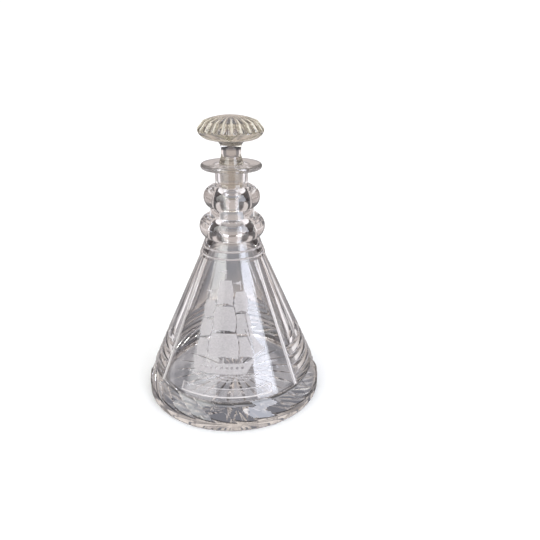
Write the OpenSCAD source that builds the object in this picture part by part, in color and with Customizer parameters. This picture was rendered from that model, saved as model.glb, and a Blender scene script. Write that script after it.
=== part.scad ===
// Ships decanter: a broad-based cut-glass bottle with two applied neck rings and a mushroom stopper.
// Millimetres, +Z up. The foot stands on z = 0, the axis is x = y = 0 and the plain front panel faces -Y.
// Azimuth is counted from the middle of the front panel, positive towards +X.

/* [Foot and body] */
// Radius of the foot, the widest part
foot_radius = 83.7; // [78:0.1:90]
// Rounding of the foot's bottom edge
foot_rounding = 1.2; // [0.8:0.1:3]
// Height at which the upright foot turns into the conical side
cone_start = 13.5; // [11:0.5:16]
// Height at which the conical side ends under the collar
shoulder_height = 137.8; // [130:0.2:142]
// Radius of the side where it ends under the collar
shoulder_radius = 29.3; // [28:0.1:32]
// Thickness of the glass in the side, before cutting
wall = 6; // [5:0.1:8]
// Thickness of the glass floor
floor_thickness = 12; // [9:0.5:16]
// Rounding inside, between the floor and the side
floor_rounding = 11; // [6:0.5:16]
// Rise of the floor at its middle
floor_rise = 2; // [0.5:0.5:4]

/* [Collar and neck] */
// Overhang of the collar beyond the cut side below it
collar_step = 0.8; // [0.4:0.1:1.5]
// Height of the collar, from the end of the side to where the neck begins
collar_height = 14.1; // [12:0.1:16]
// Radius of the neck where it leaves the collar
neck_low_radius = 24.9; // [24:0.1:26.5]
// Depth of the two ring lines cut in the collar
collar_line_depth = 0.7; // [0.3:0.1:1]
// Radius of the neck at its narrowest, under the lip
neck_high_radius = 14.3; // [13.8:0.1:15.5]
// Length of the neck, from the collar to its narrowest place
neck_length = 51.1; // [48:0.1:56]
// Radius of the bore through the neck, below the ground mouth
bore_radius = 9.6; // [8.5:0.1:9.9]
// Length over which the bore opens out into the body
bore_flare = 24; // [16:1:34]

/* [Lip and mouth] */
// Height of the lip's top edge above the narrowest place of the neck
lip_rise = 16.9; // [15:0.1:19]
// Radius of the lip
lip_radius = 26.8; // [25:0.1:30]
// Thickness of the lip at its rounded rim
lip_thickness = 4.9; // [4:0.1:6]
// Radius of the hollow curve under the lip
lip_hollow = 2.4; // [1.5:0.1:3.5]
// Depth of the dish in the lip's top
lip_dish = 0.6; // [0.2:0.1:1]
// Radius of the ground mouth at the lip
mouth_radius = 10.7; // [10.4:0.1:11.2]
// Length of the ground taper in the mouth
mouth_depth = 28; // [26:0.5:30]

/* [Neck rings] */
// Largest radius of the upper ring
upper_ring_radius = 25.1; // [24:0.1:27]
// Half height of the upper ring
upper_ring_half = 10.2; // [9:0.1:11]
// Plain neck between the upper ring and the narrowest place of the neck
upper_ring_clearance = 2.6; // [1:0.1:4]
// Largest radius of the lower ring
lower_ring_radius = 29.6; // [28.5:0.1:31.5]
// Half height of the lower ring
lower_ring_half = 10.6; // [9:0.1:11]
// Plain neck between the collar and the lower ring
lower_ring_clearance = 1; // [0.5:0.1:2]
// How far the rings' round section reaches from its middle line
ring_reach = 10; // [8:0.1:10.6]

/* [Stopper] */
// Height of the stopper's top above the lip
stopper_rise = 40.1; // [37:0.1:44]
// Radius of the mushroom head
head_radius = 28.5; // [27:0.1:30]
// Height of the dome above the head's widest place
dome_rise = 11.4; // [10.5:0.1:12.5]
// Radius of the rounded shoulder between the dome and the head's widest place
head_shoulder = 7; // [6:0.1:7.6]
// Depth of the head below its widest place
head_drop = 9; // [8.5:0.1:10]
// Radius at which the head's underside turns into the shank's curve
underside_radius = 16.4; // [15.5:0.1:17.5]
// Radius of the hollow curve between the head and the shank
shank_curve = 7.4; // [6:0.1:8]
// Radius of the shank at its thinnest
shank_radius = 8.75; // [8.4:0.05:9.3]
// Height over which the shank widens to the plug
shank_flare = 6; // [4:0.5:8]
// Length of the ground plug
plug_length = 23; // [19:0.5:24.5]
// Taper of the ground plug, loss of radius over its length
plug_taper = 0.8; // [0.5:0.1:1]
// Clearance between the ground plug and the mouth
plug_clearance = 0.08; // [0.05:0.01:0.15]
// Chamfer at the plug's lower end
plug_chamfer = 0.8; // [0.4:0.1:1.2]
// Number of pairs of opposite flutes on the dome
dome_flute_pairs = 11; // [9:1:12]
// Depth of the dome flutes where the shoulder begins
dome_flute_depth = 1.25; // [1.1:0.05:1.6]
// Radius of the hollow of a dome flute
dome_flute_hollow = 6.5; // [6:0.1:7.5]
// Radius of the plain spot at the middle of the dome
dome_plain_radius = 4; // [3:0.1:5]
// How far below the head's widest place the flutes run out
flute_tip_drop = 1.6; // [1:0.1:2.4]

/* [Side cutting] */
// Azimuth of the upright mitre strips beside the front panel
strip_azimuth = 52; // [48:0.5:56]
// Width of a mitre strip
strip_width = 4.4; // [3:0.1:5.5]
// Depth of a mitre strip
strip_depth = 0.9; // [0.5:0.1:1.3]
// Number of hollow flutes round the sides and back
side_flutes = 14; // [13:1:15]
// Radius of the hollow of a side flute
flute_hollow = 40; // [32:1:60]
// How far the flutes' rounded lower ends reach into the top prism cut
flute_overlap = 1.4; // [0.5:0.1:2.5]
// Azimuth of the middle of the short flutes that narrow the panel's top
short_flute_azimuth = 42.5; // [41:0.5:44]
// Azimuth at which a short flute runs out
short_flute_end_azimuth = 48.5; // [47:0.5:49]
// Height over which a short flute runs out, down from the collar
short_flute_drop = 46.8; // [40:0.2:52]
// Depth of a short flute at its top
short_flute_depth = 1.1; // [0.8:0.1:1.4]
// Radius of the hollow of a short flute
short_flute_hollow = 13; // [11:0.5:15]
// Number of level prism cuts below the flutes
prism_cuts = 4; // [3:1:4]
// Plain glass between the fine line under the panel and the lowest prism cut
prism_clearance = 0.3; // [0.2:0.05:1]
// Distance between prism cuts
prism_pitch = 8.1; // [7.8:0.1:8.3]
// Depth of a prism cut
prism_depth = 1.5; // [0.8:0.1:1.8]
// Azimuth at which the prism cuts end, beside the strips
prism_end_azimuth = 54.5; // [54:0.5:58]

/* [Base cutting] */
// Number of slanted flutes round the base
base_flutes = 28; // [26:1:30]
// Slope of the base flutes to the level
base_flute_slope = 36; // [32:1:42]
// Height of the middle of the base flutes above the upright foot
base_flute_rise = 3; // [2.5:0.1:3.5]
// Depth of the base flutes
base_flute_depth = 1.8; // [1.4:0.1:2]
// Radius of the hollow of a base flute
base_flute_hollow = 9; // [8:0.5:11]
// Height of the fine line under the panel above the middle of the base flutes
panel_line_rise = 10.5; // [10:0.1:11]
// Depth of the fine line under the panel
panel_line_depth = 0.5; // [0.3:0.1:0.8]
// Number of rays of the star under the base
star_rays = 24; // [16:2:28]
// Depth of a star ray at its middle
star_depth = 2; // [1:0.1:2.5]
// Radius at which the star rays begin
star_inner = 7; // [6:0.5:10]
// Radius at which the star rays end, inside the standing ring
star_outer = 67; // [58:0.5:70]
// Width to depth of a star ray
star_spread = 1.7; // [1.2:0.1:2]

/* [Hidden] */
$fn = 96;
// How far cutters reach past the glass
past = 1;
// Length of a straight cutter against the cut it makes
cutter_share = 1.2;

// Heights that follow from the sizes below them, from the foot up
collar_top = shoulder_height + collar_height;
neck_high = collar_top + neck_length;
lip_height = neck_high + lip_rise;
overall_height = lip_height + stopper_rise;
lower_ring_height = collar_top + lower_ring_clearance + lower_ring_half;
upper_ring_height = neck_high - upper_ring_clearance - upper_ring_half;
base_flute_height = cone_start + base_flute_rise;
panel_line_height = base_flute_height + panel_line_rise;
short_flute_foot = shoulder_height - short_flute_drop;

// The conical side: its slope, and the point above the shoulder where its lines would meet
side_slope = (foot_radius - shoulder_radius) / (shoulder_height - cone_start);
side_angle = atan(side_slope);
point_height = shoulder_height + shoulder_radius / side_slope;
function side_radius(z) = (point_height - z) * side_slope;
function side_spot(azimuth, z) = [
    side_radius(z) * sin(azimuth),
    -side_radius(z) * cos(azimuth),
    z
];
function side_normal(azimuth) = [
    cos(side_angle) * sin(azimuth),
    -cos(side_angle) * cos(azimuth),
    sin(side_angle)
];

// The neck: a slim cone from the collar up to its narrowest place
neck_slope = (neck_low_radius - neck_high_radius) / (neck_high - collar_top);
function neck_radius(z) = neck_high_radius + (neck_high - z) * neck_slope;

// The collar: a band that leans from the shoulder to the neck, with two ring lines cut in it
collar_slant = 0.6;
low_line_share = 0.17;
high_line_share = 0.61;
collar_foot_radius = shoulder_radius + collar_step;
collar_foot = shoulder_height + collar_slant;
collar_slope = (collar_foot_radius - neck_low_radius) / (collar_top - collar_foot);
collar_line_half = 0.9;
low_line = collar_foot + low_line_share * (collar_top - collar_foot);
high_line = collar_foot + high_line_share * (collar_top - collar_foot);
function collar_radius(z) = collar_foot_radius - (z - collar_foot) * collar_slope;
function ring_line(z) = [
    [collar_radius(z - collar_line_half), z - collar_line_half],
    [collar_radius(z) - collar_line_depth, z],
    [collar_radius(z + collar_line_half), z + collar_line_half]
];

// Points along an arc, in the half plane of radius and height
function arc(centre, radius, from, to, steps) = [
    for (i = [0 : steps])
        let (a = from + (to - from) * i / steps)
            [centre[0] + radius * cos(a), centre[1] + radius * sin(a)]
];

// The lip: rounded rim, hollow curve below it and a shallow dish on top
lip_round = lip_thickness / 2;
lip_rim = [lip_radius - lip_round, lip_height - lip_round];
lip_bottom = lip_height - lip_thickness;
lip_hollow_centre = [neck_high_radius + lip_hollow, lip_bottom - lip_hollow];
mouth_land = 1;
arc_steps = 8;

// The hollow inside: parallel to the side, rounded at the floor, opening from the bore
wall_across = wall / cos(side_angle);
function inner_radius(z) = side_radius(z) - wall_across;
floor_centre_height = floor_thickness + floor_rounding;
floor_centre_radius = inner_radius(floor_centre_height) - floor_rounding / cos(side_angle);
bore_meets_side = point_height - (bore_radius + wall_across) / side_slope;
flare_radius = bore_flare / 2 / tan(side_angle / 2);
flare_centre = [bore_radius + flare_radius, bore_meets_side + bore_flare / 2];

// The ground taper of mouth and plug
taper_slope = plug_taper / plug_length;
function plug_radius(z) = mouth_radius - plug_clearance - (lip_height - z) * taper_slope;
function mouth_taper_radius(z) = mouth_radius - (lip_height - z) * taper_slope;

// The stopper's dome: a flat cap of a sphere that rolls over a rounded shoulder into the head's edge
rim_height = overall_height - dome_rise;
dome_sphere = (head_radius * (head_radius - 2 * head_shoulder) + dome_rise * dome_rise)
    / (2 * (dome_rise - head_shoulder));
shoulder_share = dome_sphere / (dome_sphere - head_shoulder);
dome_edge_radius = (head_radius - head_shoulder) * shoulder_share;
dome_edge_drop = dome_sphere - (dome_sphere - dome_rise) * shoulder_share;
dome_edge_angle = acos((dome_edge_radius - head_radius + head_shoulder) / head_shoulder);

// The dome flutes: rings bent a little more than the dome, so they deepen towards the shoulder
flute_edge_drop = dome_edge_drop + dome_flute_depth;
flute_bend = (pow(dome_edge_radius, 2) + pow(flute_edge_drop, 2)) / (2 * flute_edge_drop);
flute_lift = pow(dome_plain_radius, 2) / 2 * (1 / flute_bend - 1 / dome_sphere);
flute_ring_radius = flute_bend + dome_flute_hollow;
flute_ring_height = overall_height + flute_lift - flute_bend;

// Over the shoulder each flute runs straight on, steeper, and out at the head's edge
tip_start_inset = 1.6;
tip_start_raise = 0.7;
tip_end_inset = 0.4;
tip_start = [dome_edge_radius - tip_start_inset, overall_height - flute_edge_drop + tip_start_raise];
tip_end = [head_radius - tip_end_inset, rim_height - flute_tip_drop];
tip_way = tip_end - tip_start;
tip_slope = atan2(-tip_way[1], tip_way[0]);

// Prism cuts: half their width along the side and upright, and the lowest and topmost heights
prism_land = 0.2;
prism_half = prism_pitch / cos(side_angle) / 2 - prism_land;
prism_half_height = prism_half * cos(side_angle);
prism_low = panel_line_height + prism_clearance + prism_half_height;
prism_top = prism_low + (prism_cuts - 1) * prism_pitch + prism_half_height;

// The side flutes: leaning cylinders, set so that a hair line of uncut glass stays between neighbours
flute_pitch = (360 - 2 * strip_azimuth) / side_flutes;
ridge_stand = 0.1;
// They stop this far below the collar
flute_gap = 0.9;
flute_top = shoulder_height - flute_gap;
flute_round_length = 12;
flute_end_height = prism_top - flute_overlap + flute_round_length;
function flute_depth(z) = pow(side_radius(z) * sin(flute_pitch / 2), 2) / 2
    * (1 / flute_hollow + cos(side_angle) / side_radius(z)) - ridge_stand;
flute_length = (flute_top - flute_end_height) / cos(side_angle);
flute_lean = side_angle - atan((flute_depth(flute_end_height) - flute_depth(flute_top)) / flute_length);
// The rounded end is turned with the radius of the hollow
nose_steps = 3;
nose_angle = 33;

// Base flutes: as long as the foot is wide from the axis, so they run out of the glass at both ends
base_flute_length = foot_radius;

// Star rays: where they are widest and how wide
star_wide_share = 0.55;
star_middle = star_inner + (star_outer - star_inner) * star_wide_share;
star_half_width = star_depth * star_spread;
star_below = 1.1;

// The solid of revolution that is blown first and cut afterwards
module bottle_blank() {
    rotate_extrude()
        polygon(concat(
            [[0, 0]],
            arc([foot_radius - foot_rounding, foot_rounding], foot_rounding, -90, 0, arc_steps / 2),
            [[foot_radius, cone_start], [shoulder_radius, shoulder_height]],
            [[collar_foot_radius, collar_foot]],
            ring_line(low_line),
            ring_line(high_line),
            [[neck_low_radius, collar_top], [neck_high_radius, neck_high]],
            arc(lip_hollow_centre, lip_hollow, 180, 90, arc_steps),
            arc(lip_rim, lip_round, -90, 90, arc_steps),
            [[mouth_radius + mouth_land, lip_height - lip_dish], [0, lip_height - lip_dish]]
        ));
}

// The hollow inside the bottle with the bore, up to the ground mouth
module hollow() {
    rotate_extrude()
        polygon(concat(
            [[0, floor_thickness + floor_rise]],
            arc([floor_centre_radius, floor_centre_height], floor_rounding, -90, side_angle, arc_steps),
            arc(flare_centre, flare_radius, 180 + side_angle, 180, arc_steps),
            [[bore_radius, lip_height - mouth_depth], [0, lip_height - mouth_depth]]
        ));
}

// The ground taper that takes the plug
module mouth() {
    low = lip_height - mouth_depth;
    translate([0, 0, low - past / 10])
        cylinder(
            h = mouth_depth + past + past / 10,
            r1 = mouth_taper_radius(low - past / 10),
            r2 = mouth_taper_radius(lip_height + past)
        );
}

// One hollow flute down the conical side, with a rounded lower end
module side_flute(azimuth) {
    lift = flute_hollow - flute_depth(flute_top);
    rotate([0, 0, azimuth - 90])
        translate([
            side_radius(flute_top) + lift * cos(side_angle),
            0,
            flute_top + lift * sin(side_angle)
        ])
            rotate([0, 180 - flute_lean, 0])
                rotate_extrude()
                    polygon(concat(
                        [[0, 0], [flute_hollow, 0]],
                        arc([0, flute_length], flute_hollow, 0, nose_angle, nose_steps),
                        [[0, flute_length + flute_hollow * sin(nose_angle)]]
                    ));
}

// A short flute beside the top of the front panel, running out against the strip
module short_flute(side) {
    top = side_spot(side * short_flute_azimuth, shoulder_height);
    foot = side_spot(side * short_flute_end_azimuth, short_flute_foot);
    way = foot - top;
    length = norm(way);
    lift = short_flute_hollow - short_flute_depth;
    lean = atan(short_flute_depth / length);
    out = side_normal(side * short_flute_azimuth);
    path = way + out * length * tan(lean);
    translate(top + out * lift)
        rotate([0, acos(path[2] / norm(path)), atan2(path[1], path[0])])
            cylinder(h = length * cutter_share, r = short_flute_hollow);
}

// An upright mitre strip beside the front panel
module strip(side) {
    top = (point_height - shoulder_height) / cos(side_angle);
    foot = (point_height - panel_line_height) / cos(side_angle);
    outer_half = strip_width / 2 * (strip_depth + past) / strip_depth;
    translate([0, 0, point_height])
        rotate([0, 180 - side_angle, side * strip_azimuth - 90])
            translate([0, 0, top])
                linear_extrude(height = foot - top)
                    polygon([[strip_depth, 0], [-past, outer_half], [-past, -outer_half]]);
}

// A level prism cut round the sides and back
module prism_cut(z) {
    along = [-side_slope * cos(side_angle), cos(side_angle)];
    inward = [-cos(side_angle), -sin(side_angle)];
    seat = [side_radius(z), z];
    outer = prism_half * (prism_depth + past) / prism_depth;
    rotate([0, 0, prism_end_azimuth - 90])
        rotate_extrude(angle = 360 - 2 * prism_end_azimuth)
            polygon([
                seat + inward * prism_depth,
                seat - inward * past - along * outer,
                seat - inward * past + along * outer
            ]);
}

// The fine line cut round between the panel and the base flutes
module panel_line() {
    seat = [side_radius(panel_line_height), panel_line_height];
    outer = panel_line_depth + past;
    rotate_extrude()
        polygon([
            seat - [panel_line_depth, 0],
            seat + [past, -outer],
            seat + [past, outer]
        ]);
}

// A slanted hollow flute at the base
module base_flute(azimuth) {
    spot = side_radius(base_flute_height);
    rotate([0, 0, azimuth - 90])
        translate([spot, 0, base_flute_height])
            rotate([0, -side_angle, 0])
                translate([base_flute_hollow - base_flute_depth, 0, 0])
                    rotate([90 - base_flute_slope, 0, 0])
                        cylinder(h = base_flute_length, r = base_flute_hollow, center = true);
}

// A ray of the star under the base: a kite that is deepest at its widest place
module star_ray(azimuth) {
    deepest = [star_middle, 0, star_depth];
    corners = [
        [star_inner, 0, 0],
        [star_middle, -star_half_width, 0],
        [star_outer, 0, 0],
        [star_middle, star_half_width, 0]
    ];
    rotate([0, 0, azimuth])
        polyhedron(
            points = concat([for (c = corners) deepest + (c - deepest) * star_below], [deepest]),
            faces = [[0, 1, 2, 3], [1, 0, 4], [2, 1, 4], [3, 2, 4], [0, 3, 4]]
        );
}

// The bottle blown, hollow and ground in the mouth
module blown_bottle() {
    difference() {
        bottle_blank();
        hollow();
        mouth();
    }
}

// The side flutes, cut one after the other
module fluted_bottle(cuts) {
    if (cuts == 0)
        blown_bottle();
    else
        difference() {
            fluted_bottle(cuts - 1);
            side_flute(strip_azimuth + flute_pitch * (cuts - 0.5));
        }
}

// The short flutes and mitre strips beside the front panel
module panelled_bottle() {
    difference() {
        difference() {
            fluted_bottle(side_flutes);
            short_flute(-1);
            short_flute(1);
        }
        strip(-1);
        strip(1);
    }
}

// The level prism cuts and the fine line under the panel
module prismed_bottle() {
    difference() {
        panelled_bottle();
        for (i = [0 : prism_cuts - 1])
            prism_cut(prism_low + prism_pitch * i);
        panel_line();
    }
}

// The slanted base flutes, cut one after the other
module footed_bottle(cuts) {
    if (cuts == 0)
        prismed_bottle();
    else
        difference() {
            footed_bottle(cuts - 1);
            base_flute((cuts - 1) * 360 / base_flutes);
        }
}

// The bottle: blown, hollow, ground in the mouth and cut on the wheel
module bottle() {
    color([0.86, 0.88, 0.88])
        difference() {
            footed_bottle(base_flutes);
            for (i = [0 : star_rays - 1])
                star_ray(i * 360 / star_rays);
        }
}

// A round-edged ring of glass laid on the neck, hollow to fit it
module neck_ring(largest_radius, height, half) {
    middle = largest_radius - ring_reach;
    steps = 20;
    difference() {
        rotate_extrude()
            polygon(concat(
                [for (i = [0 : steps]) let (a = -90 + 180 * i / steps)
                    [middle + ring_reach * cos(a), height + half * sin(a)]],
                [[0, height + half], [0, height - half]]
            ));
        translate([0, 0, height - half - past])
            cylinder(
                h = 2 * half + 2 * past,
                r1 = neck_radius(height - half - past),
                r2 = neck_radius(height + half + past)
            );
    }
}

// The upper ring on the neck
module upper_neck_ring() {
    color([0.84, 0.86, 0.86])
        neck_ring(upper_ring_radius, upper_ring_height, upper_ring_half);
}

// The lower ring on the neck
module lower_neck_ring() {
    color([0.84, 0.86, 0.86])
        neck_ring(lower_ring_radius, lower_ring_height, lower_ring_half);
}

// The stopper turned: dome, rounded edge, hollow underside, shank and ground plug
module stopper_blank() {
    plug_low = lip_height - plug_length;
    turn_height = rim_height - head_drop;
    half_width = head_radius - underside_radius;
    curve_centre = [shank_radius + shank_curve, turn_height - shank_curve];
    intersection() {
        rotate_extrude()
            polygon(concat(
                [[0, plug_low], [plug_radius(plug_low) - plug_chamfer, plug_low]],
                [[plug_radius(plug_low), plug_low + plug_chamfer]],
                [[plug_radius(lip_height), lip_height], [shank_radius, lip_height + shank_flare]],
                arc(curve_centre, shank_curve, 180, 90, arc_steps),
                [for (i = [0 : arc_steps]) let (a = -90 + 90 * i / arc_steps)
                    [underside_radius + half_width * cos(a), rim_height + head_drop * sin(a)]],
                arc([head_radius - head_shoulder, rim_height], head_shoulder, 0, dome_edge_angle, arc_steps),
                [[dome_edge_radius, overall_height + past], [0, overall_height + past]]
            ));
        translate([0, 0, overall_height - dome_sphere])
            sphere(r = dome_sphere);
    }
}

// The upper part of the dome flutes, cut in opposite pairs one after the other
module domed_stopper(cuts) {
    if (cuts == 0)
        stopper_blank();
    else
        difference() {
            domed_stopper(cuts - 1);
            rotate([0, 0, cuts * 180 / dome_flute_pairs])
                translate([0, 0, flute_ring_height])
                    rotate([90, 0, 0])
                        rotate_extrude()
                            translate([flute_ring_radius, 0])
                                circle(r = dome_flute_hollow);
        }
}

// The lower part of the dome flutes, running out over the head's edge
module tipped_stopper(cuts) {
    if (cuts == 0)
        domed_stopper(dome_flute_pairs);
    else
        difference() {
            tipped_stopper(cuts - 1);
            rotate([0, 0, cuts * 180 / dome_flute_pairs])
                translate([tip_start[0], 0, tip_start[1]])
                    rotate([0, 90 + tip_slope, 0])
                        translate([-dome_flute_hollow, 0, -norm(tip_way) / 2])
                            cylinder(h = 2 * cutter_share * norm(tip_way), r = dome_flute_hollow);
        }
}

// The stopper: mushroom head with radiating flutes, shank and ground plug
module stopper() {
    color([0.88, 0.87, 0.82])
        tipped_stopper(2 * dome_flute_pairs);
}

bottle();
upper_neck_ring();
lower_neck_ring();
stopper();
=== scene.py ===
# %% [markdown]
# # A cut-glass ships decanter
# A ships decanter has a very broad foot, so that it stays upright on a rolling table. This one is blown
# glass with two rings laid on its neck, wheel cutting all round and a loose mushroom stopper. The packed
# part gives the frame: four nodes on two bodies. Its solids could be shown as they are, but glass bends
# light at every facet, so a coarse mesh would show. The cells below build the same shapes again with meshes
# fine enough for glass.

# %% Load the packed part
import math

import bmesh
import bpy
import numpy as np
from mathutils import Matrix, Vector


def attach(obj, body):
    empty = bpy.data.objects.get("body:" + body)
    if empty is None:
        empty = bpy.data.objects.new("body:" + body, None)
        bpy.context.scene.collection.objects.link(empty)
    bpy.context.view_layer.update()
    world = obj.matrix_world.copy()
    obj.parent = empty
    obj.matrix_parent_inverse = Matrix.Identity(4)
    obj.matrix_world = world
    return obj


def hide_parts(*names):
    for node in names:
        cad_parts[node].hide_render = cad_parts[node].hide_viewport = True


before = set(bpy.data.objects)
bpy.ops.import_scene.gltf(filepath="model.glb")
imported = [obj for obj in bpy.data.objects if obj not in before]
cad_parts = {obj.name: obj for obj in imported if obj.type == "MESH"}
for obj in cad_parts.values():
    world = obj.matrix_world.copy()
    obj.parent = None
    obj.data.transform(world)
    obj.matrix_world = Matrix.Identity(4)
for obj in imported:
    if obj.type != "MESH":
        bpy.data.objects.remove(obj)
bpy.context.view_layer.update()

# %% [markdown]
# ## Sizes
# All sizes are millimetres, as in the construction. The side is a cone, which is known by its slope and by
# the point above the shoulder where its lines would meet. Azimuth is counted from the middle of the plain
# front panel. Sizes could be measured on the frame's meshes, but named values keep the recipe readable.

# %% Sizes of foot and side
FOOT, CONE_START = 83.7, 13.5
SHOULDER, SHOULDER_R = 137.8, 29.3
SLOPE = (FOOT - SHOULDER_R) / (SHOULDER - CONE_START)
LEAN = math.atan(SLOPE)
POINT = SHOULDER + SHOULDER_R / SLOPE


def side_radius(z):
    """Radius of the uncut conical side at a height."""
    return (POINT - z) * SLOPE


def place(azimuth, radius, z):
    """A point, or an array of points, from azimuth, radius and height."""
    azimuth, radius, z = np.broadcast_arrays(azimuth, radius, z)
    return np.stack([radius * np.sin(azimuth), -radius * np.cos(azimuth), z], -1)


print("side leans", round(math.degrees(LEAN), 2), "degrees")

# %% [markdown]
# ## Cutting
# Each facet of the real bottle is ground with a turning wheel: a round edge leaves a hollow flute, a sharp
# one a mitre. Boolean modifiers could take such cuts out of a blank, but they leave long thin triangles,
# which glass shows at once. Here a cut is a function that is above nought inside it. `carve` walks along
# rays from inside the glass to its uncut surface and returns the share of each at which the first cut
# begins, so the points of an even mesh lie exactly on the cut surface.

# %% The ray walk
def carve(start, end, cutters, first, steps=40, halvings=16):
    """Share of each ray, 0 at start and 1 at end, at which it leaves the cut glass."""
    shape = start.shape[:-1]
    low, high, found = np.ones(shape), np.ones(shape), np.zeros(shape, bool)

    def depth(share):
        point = start + (end - start) * share[..., None]
        return np.max([cutter(point) for cutter in cutters], 0)

    before = np.full(shape, first)
    for step in range(1, steps + 1):
        share = np.full(shape, first + (1 - first) * step / steps)
        enters = (depth(share) > 0) & ~found
        low[enters], high[enters] = before[enters], share[enters]
        found |= enters
        before = share
    for _ in range(halvings):
        middle = (low + high) / 2
        inside_cut = depth(middle) > 0
        high = np.where(found & inside_cut, middle, high)
        low = np.where(found & ~inside_cut, middle, low)
    return np.where(found, (low + high) / 2, 1.0)


half_cut = carve(np.zeros((1, 3)), np.ones((1, 3)), [lambda point: point[..., 0] - 0.5], 0.0)
print("a cut through the outer half begins at", half_cut.round(3))

# %% A round cut, and directions on the side
def rod(a, b, radius):
    """A straight round cut along the line from a to b, with ball ends."""
    a, b = np.asarray(a, float), np.asarray(b, float)
    way = b - a

    def depth(point):
        share = np.clip((point - a) @ way / (way @ way), 0, 1)
        return radius - np.linalg.norm(point - a - share[..., None] * way, axis=-1)

    return depth


def axes_at(azimuth):
    """Outward and sideways directions on the cone at an azimuth."""
    flat, rise = math.cos(LEAN), math.sin(LEAN)
    out = np.array([flat * math.sin(azimuth), -flat * math.cos(azimuth), rise])
    return out, np.array([math.cos(azimuth), math.sin(azimuth), 0.0])


def spot(azimuth, z):
    """A point of the uncut side."""
    return place(azimuth, side_radius(z), z)


print("a round cut is", rod((0, 0, 0), (0, 0, 1), 2.0)(np.zeros(3)), "mm deep on its own line")

# %% [markdown]
# ## The cuts of the side
# Fourteen hollow flutes run down the sides and the back, and two short ones narrow the top of the front
# panel. A mitre strip stands on either side of the panel. Below the flutes lie four level prism cuts, and a
# fine line goes all the way round. A bump map could hint at them, but the outline and the bending of light
# need real depth, so each is a function with the wheel's own radius or angle.

# %% The flutes
STRIP = math.radians(52)
FLUTES, FLUTE_HOLLOW, FLUTE_TOP, FLUTE_END, RIDGE = 14, 40.0, 136.9, 69.9, 0.1
FLUTE_PITCH = (2 * math.pi - 2 * STRIP) / FLUTES
SHORT_HOLLOW, SHORT_DEPTH, SHORT_END = 13.0, 1.1, 91.0
SHORT_TOP_AZIMUTH, SHORT_END_AZIMUTH = math.radians(42.5), math.radians(48.5)
RUN_ON = 0.2


def flute_depth(z):
    """Depth at which neighbouring flutes leave a hair line of uncut glass between them."""
    radius = side_radius(z)
    chord = radius * math.sin(FLUTE_PITCH / 2)
    return chord**2 / 2 * (1 / FLUTE_HOLLOW + math.cos(LEAN) / radius) - RIDGE


def side_flute(azimuth):
    """A long flute that deepens downwards and ends in a round nose."""
    out = axes_at(azimuth)[0]
    top = spot(azimuth, FLUTE_TOP) + out * (FLUTE_HOLLOW - flute_depth(FLUTE_TOP))
    low = spot(azimuth, FLUTE_END) + out * (FLUTE_HOLLOW - flute_depth(FLUTE_END))
    return rod(top + (top - low) * RUN_ON, low, FLUTE_HOLLOW)


def short_flute(side):
    """A flute beside the top of the panel that runs out against the strip."""
    out = axes_at(side * SHORT_TOP_AZIMUTH)[0]
    top = spot(side * SHORT_TOP_AZIMUTH, SHOULDER) + out * (SHORT_HOLLOW - SHORT_DEPTH)
    low = spot(side * SHORT_END_AZIMUTH, SHORT_END) + out * SHORT_HOLLOW
    return rod(top - (low - top) * RUN_ON, low + (low - top) * RUN_ON, SHORT_HOLLOW)


print("flutes every", round(math.degrees(FLUTE_PITCH), 2), "degrees")

# %% The mitre strips, the prism cuts and the fine line
STRIP_WIDTH, STRIP_DEPTH = 4.4, 0.9
PRISMS, PRISM_LOW, PRISM_PITCH, PRISM_DEPTH, PRISM_LAND = 4, 31.17, 8.1, 1.5, 0.2
PRISM_HALF = PRISM_PITCH / math.cos(LEAN) / 2 - PRISM_LAND
PRISM_END = math.radians(54.5)
PANEL_LINE, PANEL_LINE_DEPTH = 27.0, 0.5


def strip(side):
    """A mitre along a line of the cone; any height on that line can be its seat."""
    out, across = axes_at(side * STRIP)
    seat = spot(side * STRIP, (CONE_START + SHOULDER) / 2)

    def depth(point):
        height = (point - seat) @ out
        return height + STRIP_DEPTH - np.abs((point - seat) @ across) * STRIP_DEPTH * 2 / STRIP_WIDTH

    return depth


def prism_cut(z):
    """A level mitre all round at a height."""

    def depth(point):
        radius, height = np.hypot(point[..., 0], point[..., 1]) - side_radius(z), point[..., 2] - z
        out = radius * math.cos(LEAN) + height * math.sin(LEAN)
        along = height * math.cos(LEAN) - radius * math.sin(LEAN)
        return out + PRISM_DEPTH - np.abs(along) * PRISM_DEPTH / PRISM_HALF

    return depth


def panel_line(point):
    """The fine line between the panel and the base flutes."""
    radius = np.hypot(point[..., 0], point[..., 1])
    return radius - side_radius(PANEL_LINE) + PANEL_LINE_DEPTH - np.abs(point[..., 2] - PANEL_LINE)


print("prism cuts are", round(2 * PRISM_HALF, 2), "mm wide")
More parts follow.
